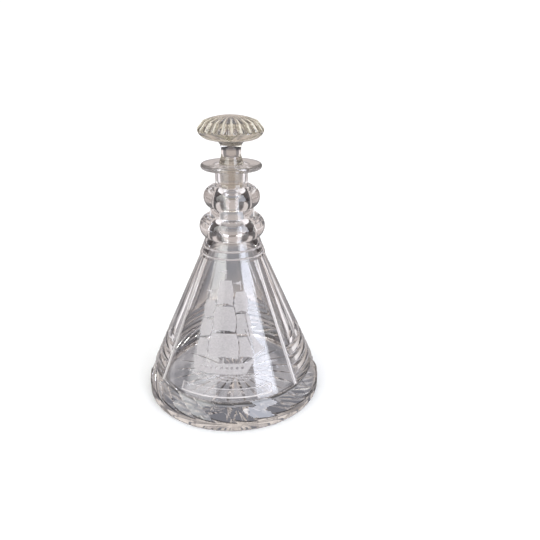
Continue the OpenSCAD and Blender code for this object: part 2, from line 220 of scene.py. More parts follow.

# %% [markdown]
# ## Meshes from rings of points
# Blown glass is round, so its mesh can be built from rings, each joined to the next. Blender's Spin and
# Screw could turn a profile, but the cut zones need different numbers of points, so neighbouring zones are
# zipped together by azimuth. Each point also carries a number called frost, which the glass reads later: 0
# is clear, up to 1 is more and more matt, up to 1.5 is a brighter matt, below 0 is a darker tint that paints
# shade.

# %% A builder that collects rings and zips them
class Shell:
    """Collects rings of points and the faces between them."""

    def __init__(self):
        self.points, self.faces, self.marks = [], [], []
        self.count = 0

    def ring(self, points, mark=0.0):
        """Stores one ring and its frost; returns the numbers of its points."""
        first = self.count
        self.points.append(np.asarray(points, float))
        self.marks.append(np.broadcast_to(mark, len(points)).astype(float))
        self.count += len(points)
        return np.arange(first, self.count)

    def join(self, below, above):
        """Faces between two rings with the same number of points, the outside on the right."""
        n = len(below)
        for i in range(n):
            k = (i + 1) % n
            self.faces.append((below[i], below[k], above[k], above[i]))

    def grid(self, rows, marks=None):
        """Rings from an array of rows, joined one to the next; returns the first and the last ring."""
        rings = [self.ring(row, 0.0 if marks is None else marks[i]) for i, row in enumerate(rows)]
        for below, above in zip(rings, rings[1:]):
            self.join(below, above)
        return rings[0], rings[-1]

    def zip(self, below, above):
        """Triangles between two rings with different numbers of points, sorted by azimuth."""
        points = np.concatenate(self.points)

        def turn(ring):
            """The ring from its least azimuth on, and the azimuth of each next point."""
            angle = np.arctan2(points[ring, 0], -points[ring, 1])
            order = int(np.argmin(angle))
            angle = np.unwrap(np.roll(angle, -order))
            return np.roll(ring, -order), np.append(angle[1:], angle[0] + 2 * math.pi)

        low, next_low = turn(below)
        high, next_high = turn(above)
        i = k = 0
        while i < len(low) or k < len(high):
            a, b = low[i % len(low)], high[k % len(high)]
            if k == len(high) or (i < len(low) and next_low[i] <= next_high[k]):
                self.faces.append((a, low[(i + 1) % len(low)], b))
                i += 1
            else:
                self.faces.append((a, high[(k + 1) % len(high)], b))
                k += 1

    def cap(self, ring, centre):
        """A fan that closes a ring at a middle point above or below it."""
        middle = self.ring([centre])[0]
        for i in range(len(ring)):
            self.faces.append((ring[i], ring[(i + 1) % len(ring)], middle))


print("a shell can", [name for name in vars(Shell) if not name.startswith("__")])

# %% From rings to a mesh
MM, SHARP, LEAST_EDGE = 0.001, math.radians(13), 1e-7


def build(shell, name):
    """The mesh object in metres, smooth but for edges that bend more than the sharp angle."""
    mesh = bpy.data.meshes.new(name)
    points = np.concatenate(shell.points) * MM
    mesh.from_pydata(points.tolist(), [], [[int(v) for v in face] for face in shell.faces])
    frost = mesh.attributes.new("frost", "FLOAT", "POINT")
    frost.data.foreach_set("value", np.concatenate(shell.marks))
    work = bmesh.new()
    work.from_mesh(mesh)
    bmesh.ops.dissolve_degenerate(work, dist=LEAST_EDGE, edges=work.edges)
    work.to_mesh(mesh)
    work.free()
    mesh.validate()
    mesh.polygons.foreach_set("use_smooth", [True] * len(mesh.polygons))
    mesh.set_sharp_from_angle(angle=SHARP)
    obj = bpy.data.objects.new(name, mesh)
    bpy.context.scene.collection.objects.link(obj)
    print(name, len(mesh.vertices), "points", len(mesh.polygons), "faces")
    return obj


print("edges of more than", round(math.degrees(SHARP)), "degrees stay sharp")

# %% Arcs and turned rows
def arc(centre, radius, start, end, steps):
    """Points of an arc in the plane of radius and height, angles in degrees."""
    angles = np.radians(np.linspace(start, end, steps + 1))
    points = np.stack([centre[0] + radius * np.cos(angles), centre[1] + radius * np.sin(angles)], -1)
    return [tuple(point) for point in points]


def lathe(profile, count):
    """Rows of points round the axis, one row for each point of the profile."""
    azimuths = np.linspace(-math.pi, math.pi, count, endpoint=False)
    return [place(azimuths, r, z) for r, z in profile]


print("a quarter arc in four steps has", len(arc((0, 0), 1, 0, 90, 4)), "points")

# %% [markdown]
# ## The engraving
# The front panel is engraved with a small copper wheel that leaves the glass matt: a plain three-masted
# ship under full sail on a line of sea, and a bare outlined scroll below it. An image could paint it, but a
# mesh that is fine enough carries it by itself. Each mark is a shape on the panel: across is millimetres
# along the curve, up is height.

# %% Shapes to engrave
SAIL_BULGE, SAIL_ARCH = 1.3, 1.6


def inside(points, corners):
    """True for the points within a polygon."""
    x, y = points
    found = np.zeros(x.shape, bool)
    for (ax, ay), (bx, by) in zip(corners, corners[1:] + corners[:1]):
        if ay != by:
            crosses = (ay > y) != (by > y)
            found ^= crosses & (x < (bx - ax) * (y - ay) / (by - ay) + ax)
    return found


def stroke(points, a, b, width):
    """True for the points within a line of a given width."""
    x, y = points
    dx, dy = b[0] - a[0], b[1] - a[1]
    share = np.clip(((x - a[0]) * dx + (y - a[1]) * dy) / (dx * dx + dy * dy), 0, 1)
    return np.hypot(x - a[0] - share * dx, y - a[1] - share * dy) < width / 2


def sail(middle, low, high, foot, head, grow=0.0):
    """A square sail with bulging sides and a hollow foot, grown on all sides if asked."""
    rise = np.linspace(0, 1, 9)
    half = foot + (head - foot) * rise + SAIL_BULGE * np.sin(rise * math.pi) + grow
    left = [(middle - h, low - grow + (high - low + 2 * grow) * s) for h, s in zip(half, rise)]
    right = [(middle + h, y) for h, (_, y) in zip(half, left)]
    foot_line = [(middle + foot * c, low - grow + SAIL_ARCH * (1 - c * c)) for c in np.linspace(0.8, -0.8, 7)]
    return left + right[::-1] + foot_line


print("a sail has", len(sail(0, 0, 10, 8, 7)), "corners")

# %% The ship
MASTS = ((-15, 107, 7.6), (11, 115, 8.4), (-2.5, 124, 10.6))
MAST_LOW, MAST_WIDTH, MAST_OVER, SAILS_LOW, SAIL_GAP, SAIL_EDGE = 56, 0.8, 8, 60, 0.8, 0.7
HULL = [(-26, 61), (-23, 49), (14, 49), (21, 59.5), (12, 57.5), (-17, 57.2), (-19, 60.4)]
JIB_TACK, JIBS, JIB_HALYARD, JIB_CLEW = (20.5, 63), ((29, 84), (25, 98)), 13.5, 66.5
BOWSPRIT = ((15, 57.5), (30, 66.5), 0.9)
PORTS, PORT_FIRST, PORT_PITCH, PORT_LEVEL, PORT_HALF, PORT_MATT = 9, -18.2, 3.7, 53.8, 0.8, 0.1
MATT_LINE, CLOTH_MIDDLE, CLOTH_EDGE, NARROWER, SAIL_HEAD = 0.9, 0.86, 0.14, 0.2, 0.88


def engrave_mast(frost, p, middle, top, wide):
    """A mast with its pennant and three sails, each with a clear edge round its cloth."""
    frost[stroke(p, (middle, MAST_LOW), (middle, top + MAST_OVER), MAST_WIDTH)] = MATT_LINE
    pennant = [(middle, top + MAST_OVER), (middle - 7, top + 6.6), (middle, top + 5.2)]
    frost[inside(p, pennant)] = MATT_LINE
    levels = np.linspace(SAILS_LOW, top, 4)
    for k in range(3):
        foot, head = wide * (1 - NARROWER * k), wide * (SAIL_HEAD - NARROWER * k)
        shape = (middle, levels[k] + SAIL_GAP, levels[k + 1], foot, head)
        frost[inside(p, sail(*shape, SAIL_EDGE))] = 0.0
        cloth = inside(p, sail(*shape))
        frost[cloth] = (CLOTH_MIDDLE + CLOTH_EDGE * np.abs(p[0] - middle) / wide)[cloth]


def engrave_ship(frost, p):
    """Masts and sails, jibs, hull, bowsprit and a row of ports."""
    across, z = p
    for middle, top, wide in MASTS:
        engrave_mast(frost, p, middle, top, wide)
    for far, head in JIBS:
        frost[inside(p, [JIB_TACK, (far, JIB_CLEW), (JIB_HALYARD, head)])] = MATT_LINE
        frost[stroke(p, JIB_TACK, (JIB_HALYARD, head), 0.6)] = 0.0
    frost[inside(p, HULL)] = 1.0
    frost[stroke(p, *BOWSPRIT)] = MATT_LINE
    for k in range(PORTS):
        port = PORT_FIRST + PORT_PITCH * k
        frost[(np.abs(across - port) < PORT_HALF) & (np.abs(z - PORT_LEVEL) < PORT_HALF)] = PORT_MATT


print("masts", len(MASTS), "ports", PORTS)

# %% The sea, the scroll and the whole engraving
PANEL_HALF = math.radians(33)
WAVES, SEA_LEVEL, WAVE_PITCH, WAVE_HALF, SEA_HALF, SEA_MATT = 3, 47, 1.9, 0.45, 26, 0.7
SCROLL, SCROLL_HALF, SCROLL_EDGE = 33.75, 3.75, 1.0
SCROLL_END, SCROLL_SIDE = math.radians(32.3), math.radians(31.4)
SCROLL_MATT, SCROLL_BRIGHT = 0.3, 1.4


def engraving(azimuth, z):
    """The frost of each point of the panel."""
    across = azimuth * (side_radius(z) + 40) / 2
    frost = np.zeros(np.shape(across))
    engrave_ship(frost, (across, z))
    for k in range(WAVES):
        wave = SEA_LEVEL - WAVE_PITCH * k + 0.5 * np.sin(across * 0.6 + 2.0 * k)
        frost[(np.abs(z - wave) < WAVE_HALF) & (np.abs(across + 2) < SEA_HALF - 4 * k)] = SEA_MATT
    scroll = (np.abs(azimuth) < SCROLL_END) & (np.abs(z - SCROLL) < SCROLL_HALF)
    frost[scroll] = SCROLL_MATT
    frost[scroll & (np.abs(z - SCROLL) > SCROLL_HALF - SCROLL_EDGE)] = SCROLL_BRIGHT
    frost[scroll & (np.abs(azimuth) > SCROLL_SIDE)] = SCROLL_BRIGHT
    return frost


probe = np.meshgrid(np.linspace(-PANEL_HALF, PANEL_HALF, 67), np.linspace(PANEL_LINE, FLUTE_TOP, 110))
print("matt share of the panel", round(float((engraving(*probe) > 0).mean()), 2))

# %% [markdown]
# ## The base band
# Twenty-eight slanted flutes go round the base like the teeth of a ratchet: each is shallow on its left and
# deep on its right, and its lower end breaks the upright foot in a saw-tooth edge with a small ledge. Ray
# walking could find that edge, but only to the size of a face. So the columns of the mesh run along the
# flutes, and in each column one row lies just where the flute leaves the foot. That row gets painted shade:
# a dark line along the edge.

# %% Columns along the slanted base flutes
BASE_FLUTES, BASE_SLOPE, BASE_HEIGHT, PER_FLUTE = 28, math.radians(36), 16.5, 14
BASE_PITCH = 2 * math.pi / BASE_FLUTES
LEDGE, SHALLOW, DEEPER, BELLY, RUN_OUT = 1.0, 0.5, 1.7, 0.45, 2.2
shares = np.linspace(0, 0.965, PER_FLUTE)
depths = LEDGE + SHALLOW + DEEPER * shares + BELLY * np.sin(math.pi * shares)
edges = CONE_START - (depths - LEDGE) / SLOPE


def base_column(z):
    """Azimuths at a height of the columns of one flute."""
    run = (z - BASE_HEIGHT) / (math.tan(BASE_SLOPE) * math.cos(LEAN))
    return BASE_PITCH * shares - run / side_radius(z)


print("saw-tooth edge from", round(min(edges), 2), "to", round(max(edges), 2), "mm")

# %% The foot zone
FOOT_ROUND, PAINTED_SHADE, RUN_OUT_MATT = 1.2, -1.0, 0.4
FOOT_SHARES, FLUTE_SHARES = (0.0, 0.3, 0.6, 0.93, 1.0), np.linspace(0, 1, 31)
body = Shell()
turns = BASE_PITCH * np.arange(BASE_FLUTES)[:, None]
foot_azimuths = base_column(edges) + turns
rounding = arc((FOOT - FOOT_ROUND, FOOT_ROUND), FOOT_ROUND, -90, 0, 8)[:-1]
foot_rows = [place(foot_azimuths, r, z).reshape(-1, 3) for r, z in rounding]
for step in FOOT_SHARES:
    levels = FOOT_ROUND + (edges - FOOT_ROUND) * step
    foot_rows.append(place(foot_azimuths, FOOT, levels).reshape(-1, 3))
# Both rows of the ledge at the saw-tooth edge get painted shade: a dark line.
foot_marks = [0.0] * (len(foot_rows) - 1) + [PAINTED_SHADE]
for step in FLUTE_SHARES:
    levels = edges + (PANEL_LINE - edges) * step
    left = np.clip((PANEL_LINE - levels) / RUN_OUT, 0, 1)
    cut = np.maximum(depths * np.sqrt(1 - (1 - left) ** 2), PANEL_LINE_DEPTH)
    foot_rows.append(place(base_column(levels) + turns, side_radius(levels) - cut, levels).reshape(-1, 3))
    foot_marks.append(np.tile(RUN_OUT_MATT * (1 - left), BASE_FLUTES) if step else PAINTED_SHADE)
foot_marks[-1] = 1.0
foot_low, foot_high = body.grid(foot_rows, foot_marks)
print("foot rows", len(foot_rows))

# %% [markdown]
# ## The side
# This zone carries the panel, the strips, the flutes and the prism cuts. An even grid would be simpler, but
# would cut every sharp ridge into steps. So columns lie along the strips, the ridges of the flutes and the
# ends of the prism cuts, and rows along the prism cuts. The ridges are worn and the strips were never
# polished: both get some frost.

# %% Columns of the side zone
PANEL_COLUMNS, BESIDE_COLUMNS, FACET_COLUMNS, FLUTE_COLUMNS = 56, 14, 3, 12
STRIP_GAP, END_STEP = 0.004, 0.0004


def half_columns(z):
    """Azimuths of the right half, from the panel's middle to the back's."""
    half_strip = math.asin(STRIP_WIDTH / 2 / side_radius(z))
    end = max(PRISM_END, STRIP + half_strip + STRIP_GAP)
    keys = [(0.0, 0), (PANEL_HALF, PANEL_COLUMNS), (STRIP - half_strip, BESIDE_COLUMNS)]
    keys += [(STRIP, FACET_COLUMNS), (STRIP + half_strip, FACET_COLUMNS), (end - END_STEP, 1), (end, 1)]
    keys += [(STRIP + FLUTE_PITCH, FLUTE_COLUMNS - 1)]
    keys += [(STRIP + FLUTE_PITCH * k, FLUTE_COLUMNS) for k in range(2, FLUTES // 2 + 1)]
    columns = [np.array([0.0])]
    for (a, _), (b, n) in zip(keys, keys[1:]):
        columns.append(np.linspace(a, b, n + 1)[1:])
    return np.concatenate(columns)


def all_columns(z):
    """The columns of both halves."""
    right = half_columns(z)
    return np.concatenate([right, -right[-2:0:-1]])


print("columns of the side", len(all_columns(PANEL_LINE)))

# %% Rows of the side zone
ROW_STEP, LAST_ROWS = 0.6, (133.0, FLUTE_TOP + 0.4)
seats = [PRISM_LOW + PRISM_PITCH * k for k in range(PRISMS)]
PRISM_REACH = PRISM_HALF * math.cos(LEAN)
keys = [PANEL_LINE, PANEL_LINE + PANEL_LINE_DEPTH, *LAST_ROWS]
for seat in seats:
    keys += [seat - PRISM_REACH, seat - PRISM_DEPTH * math.sin(LEAN), seat + PRISM_REACH]
keys = sorted(keys)
heights = [keys[0]]
for a, b in zip(keys, keys[1:]):
    heights += list(np.linspace(a, b, max(1, math.ceil((b - a) / ROW_STEP)) + 1)[1:])
print("rows of the side", len(heights))

# %% Cut the side
cutters = [side_flute(STRIP + FLUTE_PITCH * (k + 0.5)) for k in range(FLUTES)]
cutters += [short_flute(-1), short_flute(1), strip(-1), strip(1), panel_line]
prisms = [prism_cut(seat) for seat in seats]
SIDE_FIRST = 0.93


def prism_depth(point):
    """The prism cuts, which end beside the strips."""
    azimuth = np.abs(np.arctan2(point[..., 0], -point[..., 1]))
    return np.where(azimuth > PRISM_END - END_STEP / 2, np.max([prism(point) for prism in prisms], 0), -1.0)


azimuths = np.stack([all_columns(z) for z in heights])
tall = np.broadcast_to(np.array(heights)[:, None], azimuths.shape)
radii = side_radius(tall)
cut = carve(place(azimuths, 0.0, tall), place(azimuths, radii, tall), cutters + [prism_depth], SIDE_FIRST)
side_rows = place(azimuths, radii * cut, tall)
print("deepest cut", round(float((radii * (1 - cut)).max()), 2), "mm")

# %% Frost of the side
BRIGHT_MATT, STRIP_MATT, RIDGE_MATT = 1.5, 0.35, 0.8
FACET_LOW, FACET_HIGH, FACET_END, RIDGE_HALF, RIDGE_START = 0.05, 0.45, 0.48, 0.05, PRISM_END + 0.02
turned = np.abs(azimuths)
frost = np.where(turned < PANEL_HALF, engraving(azimuths, tall), 0.0)
frost[0], frost[1] = 1.0, 0.5
facet = np.abs(STRIP - turned) * radii / STRIP_WIDTH
frost[facet < FACET_END] = STRIP_MATT
frost[(facet > FACET_LOW) & (facet < FACET_HIGH)] = BRIGHT_MATT
ridges = [seat + way * PRISM_REACH for seat in seats for way in (-1, 1)]
on_ridge = np.min([np.abs(tall - z) for z in ridges], 0) < RIDGE_HALF
frost[on_ridge & (turned > RIDGE_START)] = RIDGE_MATT
side_low, side_high = body.grid(side_rows, frost)
body.zip(foot_high, side_low)
print("side rows", side_rows.shape)

# %% [markdown]
# ## Collar, neck and lip
# Above the side everything is round. The collar leans in to the neck and has two ring lines cut in it, and
# the lip is a thick rounded disc with a shallow dish. A curve with a Bevel could turn them, but a list of
# profile points keeps every radius as it was measured. The neck rings are pieces of their own, laid hot on
# the neck, so the neck is left open behind them: two skins of glass at one place would trap the light.

# %% The profiles of the neck rings
RINGS = {"lower": (29.6, 163.5, 10.6), "upper": (25.1, 190.2, 10.2)}
RING_REACH = 10.0
COLLAR_TOP, NECK_LOW_R, NECK_HIGH, NECK_HIGH_R = 151.9, 24.9, 203.0, 14.3


def neck_radius(z):
    """Radius of the slim conical neck at a height."""
    return NECK_HIGH_R + (NECK_HIGH - z) * (NECK_LOW_R - NECK_HIGH_R) / (NECK_HIGH - COLLAR_TOP)


def ring_profile(name, steps=28):
    """The outline of a neck ring, from its lower to its upper end on the neck."""
    largest, height, half = RINGS[name]
    core = largest - RING_REACH

    def gap(angle):
        return core + RING_REACH * math.cos(angle) - neck_radius(height + half * math.sin(angle))

    ends = []
    for sign in (-1, 1):
        low, high = 0.0, sign * math.pi / 2
        for _ in range(40):
            middle = (low + high) / 2
            low, high = (middle, high) if gap(middle) > 0 else (low, middle)
        ends.append(low)
    angles = np.linspace(*ends, steps + 1)
    points = np.stack([core + RING_REACH * np.cos(angles), height + half * np.sin(angles)], -1)
    return [tuple(point) for point in points]


lower, upper = ring_profile("lower"), ring_profile("upper")
print("neck between the rings", round(upper[0][1] - lower[-1][1], 2), "mm")

# %% The profile of collar, neck and lip
COLLAR_STEP, COLLAR_SLANT, COLLAR_LINES, LINE_HALF, LINE_DEPTH = 0.8, 0.6, (0.17, 0.61), 0.9, 0.7
LIP, LIP_R, LIP_THICK, LIP_HOLLOW, LIP_DISH = 219.9, 26.8, 4.9, 2.4, 0.6
MOUTH, MOUTH_DEPTH, MOUTH_LAND, TAPER = 10.7, 28.0, 1.0, 0.8 / 23
collar_foot, collar_foot_r = SHOULDER + COLLAR_SLANT, SHOULDER_R + COLLAR_STEP
collar_slope = (collar_foot_r - NECK_LOW_R) / (COLLAR_TOP - collar_foot)


def ring_line(share):
    """The three profile points of a ring line, at a share of the collar's height."""
    z = collar_foot + share * (COLLAR_TOP - collar_foot)
    radius = collar_foot_r - (z - collar_foot) * collar_slope
    lean = LINE_HALF * collar_slope
    return [(radius + lean, z - LINE_HALF), (radius - LINE_DEPTH, z), (radius - lean, z + LINE_HALF)]


low_line, high_line = (ring_line(share) for share in COLLAR_LINES)
collar = [(SHOULDER_R, SHOULDER), (collar_foot_r, collar_foot), *low_line, *high_line]
collar += [(NECK_LOW_R, COLLAR_TOP), lower[0]]
between = [lower[-1], upper[0]]
lip = [upper[-1], (NECK_HIGH_R, NECK_HIGH)]
lip += arc((NECK_HIGH_R + LIP_HOLLOW, LIP - LIP_THICK - LIP_HOLLOW), LIP_HOLLOW, 180, 90, 12)
lip += arc((LIP_R - LIP_THICK / 2, LIP - LIP_THICK / 2), LIP_THICK / 2, -90, 90, 24)
lip += [(MOUTH + MOUTH_LAND, LIP - LIP_DISH), (MOUTH - LIP_DISH * TAPER, LIP - LIP_DISH)]
print("profile points", len(collar) + len(between) + len(lip))

# %% [markdown]
# ## The hollow
# Inside, the blown hollow follows the side, rounds off into a floor that rises a little in its middle, and
# narrows to the bore below the ground mouth. A Solidify modifier could give the glass its thickness, but
# this wall isn't even. The width of the bore shows from outside: its wall mirrors the room as dark
# crescents in the neck rings. One narrow ring of painted shade in the rounding of the floor tones down a
# bright line.

# %% The profile of the hollow
WALL, FLOOR, FLOOR_ROUND, FLOOR_RISE = 6.0, 12.0, 11.0, 2.0
BORE, FLARE, WIDENING = 12.3, 24.0, 9.0
FLOOR_SHADE = (12.6, 16.5)
wall_across = WALL / math.cos(LEAN)
floor_z = FLOOR + FLOOR_ROUND
floor_r = side_radius(floor_z) - wall_across - FLOOR_ROUND / math.cos(LEAN)
flare_radius = FLARE / 2 / math.tan(LEAN / 2)
flare_centre = (BORE + flare_radius, POINT - (BORE + wall_across) / SLOPE + FLARE / 2)
mouth_low = LIP - MOUTH_DEPTH
seat_end = MOUTH - MOUTH_DEPTH * TAPER
hollow = []
for share in np.linspace(0, 1, 13)[1:]:
    wider = (BORE - seat_end) * (1 - math.cos(math.pi * share)) / 2
    hollow.append((seat_end + wider, mouth_low - WIDENING * share))
hollow += arc(flare_centre, flare_radius, 180, 180 + math.degrees(LEAN), 10)
hollow += arc((floor_r, floor_z), FLOOR_ROUND, math.degrees(LEAN), -90, 20)
hollow += [(floor_r * s, FLOOR + FLOOR_RISE * (1 - s * s)) for s in np.linspace(0.95, 0.05, 19)]
# A narrow ring in the rounding of the floor gets painted shade.
in_shade = [r > floor_r + 1 and FLOOR_SHADE[0] < z < FLOOR_SHADE[1] for r, z in hollow]
print("hollow points", len(hollow), "of them in the shade", sum(in_shade))

# %% The round zones of the bottle
ROUND = 192
MOUTH_MATT = 0.1
collar = [(side_radius(heights[-1]), heights[-1])] + collar
line_middles = (low_line[1], high_line[1])
low_ring, _ = body.grid(lathe(collar, ROUND), [MATT_LINE * (point in line_middles) for point in collar])
body.zip(side_high, low_ring)
body.grid(lathe(between, ROUND))
_, lip_ring = body.grid(lathe(lip, ROUND))
mouth = [(MOUTH - (LIP - z) * TAPER, z) for z in np.linspace(LIP - LIP_DISH, mouth_low, 12)[1:]]
mouth_first, mouth_last = body.grid(lathe(mouth, ROUND), [MOUTH_MATT] * len(mouth))
body.join(lip_ring, mouth_first)
hollow_first, hollow_last = body.grid(lathe(hollow, ROUND), [PAINTED_SHADE * shade for shade in in_shade])
body.join(mouth_last, hollow_first)
body.cap(hollow_last, (0.0, 0.0, FLOOR + FLOOR_RISE))
print("bottle points so far", body.count)

# %% [markdown]
# ## The star
# A star of twenty-four rays is cut underneath, and it shows through the panel. Each ray is a kite that is
# deepest at its widest place. Booleans could cut it, but four columns in each sector and a few circles
# describe it exactly. With the star and the foot joined, bottle and rings together are one closed skin, as
# glass needs.

# %% The star under the base
RAYS, STAR_DEPTH, STAR_IN, STAR_OUT, STAR_HALF, STAR_LEAST = 24, 2.0, 7.0, 67.0, 3.4, 0.2
STAR_WIDEST, STAR_RIM = 0.55, FOOT - FOOT_ROUND - 0.6
star_middle = STAR_IN + (STAR_OUT - STAR_IN) * STAR_WIDEST
sector = 2 * math.pi / RAYS
star_rows = []
for radius in (STAR_IN, star_middle, STAR_OUT, STAR_RIM):
    outer, inner = STAR_OUT - radius, radius - STAR_IN
    share = min(outer / (STAR_OUT - star_middle), inner / (star_middle - STAR_IN))
    depth, lean = STAR_DEPTH * max(0.0, share), math.atan(max(STAR_LEAST, STAR_HALF * share) / radius)
    row = []
    for turn in sector * np.arange(RAYS):
        row += [place(turn - lean, radius, 0.0), place(turn, radius, depth)]
        row += [place(turn + lean, radius, 0.0), place(turn + sector / 2, radius, 0.0)]
    star_rows.append(np.array(row))
star_heart, star_rim = body.grid(star_rows)
body.cap(star_heart[::-1], (0.0, 0.0, 0.0))
body.zip(star_rim, foot_low)
glass_bottle = build(body, "glass_bottle")

# %% [markdown]
# ## The neck rings
# The rings give the hand a hold. They are threads of hot glass laid round the neck and rounded. A torus
# could stand for them, but they are higher than they are deep, so each is turned from its own profile.

# %% The neck rings
ring_objects = {}
for name, profile in (("upper", upper), ("lower", lower)):
    shell = Shell()
    shell.grid(lathe(profile, ROUND))
    ring_objects[name] = build(shell, f"glass_{name}_neck_ring")

# %% [markdown]
# ## The stopper
# The solid mushroom head is a flat cap of a ball that rolls over a rounded shoulder. Twenty-two hollow
# flutes run from the plain spot at the top out over the edge. Array and Boolean modifiers could cut them,
# but the rays of `carve` give even faces: here they start in the middle of the head. The shank below is
# slim, and the plug is ground to fit the mouth.

# %% Sizes of the stopper
TOP, HEAD_R, DOME_RISE, HEAD_SHOULDER, HEAD_DROP = 260.0, 28.5, 11.4, 7.0, 9.0
DOME_FLUTES, DOME_DEPTH, DOME_HOLLOW, DOME_PLAIN = 22, 1.25, 6.5, 4.0
RIM = TOP - DOME_RISE
ball = (HEAD_R * (HEAD_R - 2 * HEAD_SHOULDER) + DOME_RISE**2) / (2 * (DOME_RISE - HEAD_SHOULDER))
grown = ball / (ball - HEAD_SHOULDER)
edge_r = (HEAD_R - HEAD_SHOULDER) * grown
edge_drop = ball - (ball - DOME_RISE) * grown
edge_angle = math.degrees(math.acos((edge_r - HEAD_R + HEAD_SHOULDER) / HEAD_SHOULDER))
print("dome ball", round(ball, 1), "edge at", round(edge_r, 1), "mm")

# %% The flutes of the dome
TIP_IN, TIP_LIFT, TIP_EDGE, TIP_DROP = 1.6, 0.7, 0.4, 1.6
flute_drop = edge_drop + DOME_DEPTH
bend = (edge_r**2 + flute_drop**2) / (2 * flute_drop)
ring_height = TOP + DOME_PLAIN**2 / 2 * (1 / bend - 1 / ball) - bend
tip_start = (edge_r - TIP_IN, TOP - flute_drop + TIP_LIFT)
tip_end = (HEAD_R - TIP_EDGE, RIM - TIP_DROP)
tip_slope = math.atan2(tip_start[1] - tip_end[1], tip_end[0] - tip_start[0])


def dome_flute(azimuth):
    """A flute of the dome: a bent cut over the top and a straight one over the edge."""
    way = place(azimuth, 1.0, 0.0)
    side = np.array([math.cos(azimuth), math.sin(azimuth), 0.0])

    def depth(point):
        along, aside, height = point @ way, point @ side, point[..., 2]
        bent = DOME_HOLLOW - np.hypot(np.hypot(along, height - ring_height) - bend - DOME_HOLLOW, aside)
        rise = (along - tip_start[0]) * math.sin(tip_slope) + (height - tip_start[1]) * math.cos(tip_slope)
        straight = DOME_HOLLOW - np.hypot(rise - DOME_HOLLOW, aside)
        return np.where(along > 0, np.maximum(bent, np.where(along > edge_r / 2, straight, -1.0)), -1.0)

    return depth


print("flutes slope", round(math.degrees(tip_slope), 1), "degrees over the edge")

# %% The head of the stopper
PER_DOME, UNDER_R, UNDER_CUT, HEART_DROP, HEAD_FIRST, SPOT_R = 12, 16.4, 12, 4.0, 0.75, 1.2
DOME_PITCH = 2 * math.pi / DOME_FLUTES
dome_angles = np.linspace(math.asin(SPOT_R / ball), math.asin(edge_r / ball), 26)
dome = [(ball * math.sin(a), TOP - ball + ball * math.cos(a)) for a in dome_angles]
dome += arc((HEAD_R - HEAD_SHOULDER, RIM), HEAD_SHOULDER, edge_angle, 0, 20)[1:]
under = []
for angle in np.radians(np.linspace(0, 90, 29))[1:]:
    under.append((UNDER_R + (HEAD_R - UNDER_R) * math.cos(angle), RIM - HEAD_DROP * math.sin(angle)))
columns = DOME_PITCH * (np.arange(PER_DOME) / PER_DOME - 0.5)
dome_turns = columns[None] + DOME_PITCH * np.arange(DOME_FLUTES)[:, None]
near_dome = [dome_flute(DOME_PITCH * k) for k in (-1, 0, 1)]
heart = np.array([0.0, 0.0, RIM - HEART_DROP])
dome_rows = []
for r, z in dome + under[:UNDER_CUT]:
    end = place(columns, r, z)
    cut = carve(np.broadcast_to(heart, end.shape), end, near_dome, HEAD_FIRST)
    points = heart + (end - heart) * cut[:, None]
    radii = np.hypot(points[:, 0], points[:, 1])
    dome_rows.append(place(dome_turns, radii[None], points[None, :, 2]).reshape(-1, 3))
print("head rows", len(dome_rows), "of", len(dome_rows[0]), "points")

# %% The shank and the plug
SHANK_CURVE, SHANK_R, SHANK_FLARE, PLUG, PLUG_GAP, PLUG_CHAMFER = 7.4, 8.75, 6.0, 23.0, 0.08, 0.8
HEAD_SHADE = (232.0, 239.0)
around = np.arctan2(dome_rows[-1][:, 0], -dome_rows[-1][:, 1])
shank = arc((SHANK_R + SHANK_CURVE, RIM - HEAD_DROP - SHANK_CURVE), SHANK_CURVE, 90, 180, 14)
shank += [(SHANK_R, HEAD_SHADE[0] - 1), (SHANK_R, LIP + SHANK_FLARE)]
plug_low = LIP - PLUG
plug = [(MOUTH - PLUG_GAP - (LIP - z) * TAPER, z) for z in np.linspace(LIP, plug_low + PLUG_CHAMFER, 10)]
plug_end = (MOUTH - PLUG_GAP - PLUG * TAPER - PLUG_CHAMFER, plug_low)
below_head = [place(around, r, z) for r, z in under[UNDER_CUT:] + shank + plug + [plug_end]]
print("rows below the head", len(below_head))

# %% [markdown]
# The flutes of the dome are worn light on their ridges and get painted shade in their hollows, and a ring
# of painted shade lies under the head. Both are marks in the mesh, like the frost of the side, so that they
# move with the stopper. A texture could paint them, but the mesh knows where its ridges are.

# %% The stopper's mesh
RIDGE_LIGHT, STREAK_START, STREAK_RISE = 0.95, 8, 12
rows = (dome_rows + below_head)[::-1]
marks = [0.0] + [MOUTH_MATT] * len(plug)
# Painted shade: a dark ring under the head, and dark hollows between the dome's flutes.
marks += [PAINTED_SHADE * (HEAD_SHADE[0] < z < HEAD_SHADE[1]) for _, z in shank[::-1]]
marks += [0.0] * len(under)
streak = np.cos(2 * math.pi * np.arange(PER_DOME * DOME_FLUTES) / PER_DOME)
streak = np.where(streak > 0, RIDGE_LIGHT, PAINTED_SHADE) * streak**4
marks += [streak * np.clip((r - STREAK_START) / STREAK_RISE, 0, 1) for r, _ in dome[::-1]]
stopper_shell = Shell()
low_end, high_end = stopper_shell.grid(rows, marks)
stopper_shell.cap(high_end, (0.0, 0.0, TOP))
stopper_shell.cap(low_end[::-1], (0.0, 0.0, plug_low))
glass_stopper = build(stopper_shell, "glass_stopper")

# %% [markdown]
# ## Shader maths
# A material is a tree of nodes, and a formula in it is a chain of Math nodes. Such a chain could be wired
# by hand, but it is easier to read as arithmetic. `Number` wraps a socket, and `Nodes` wraps a tree: its
# method `add` makes any node from its type, its settings and its sockets.

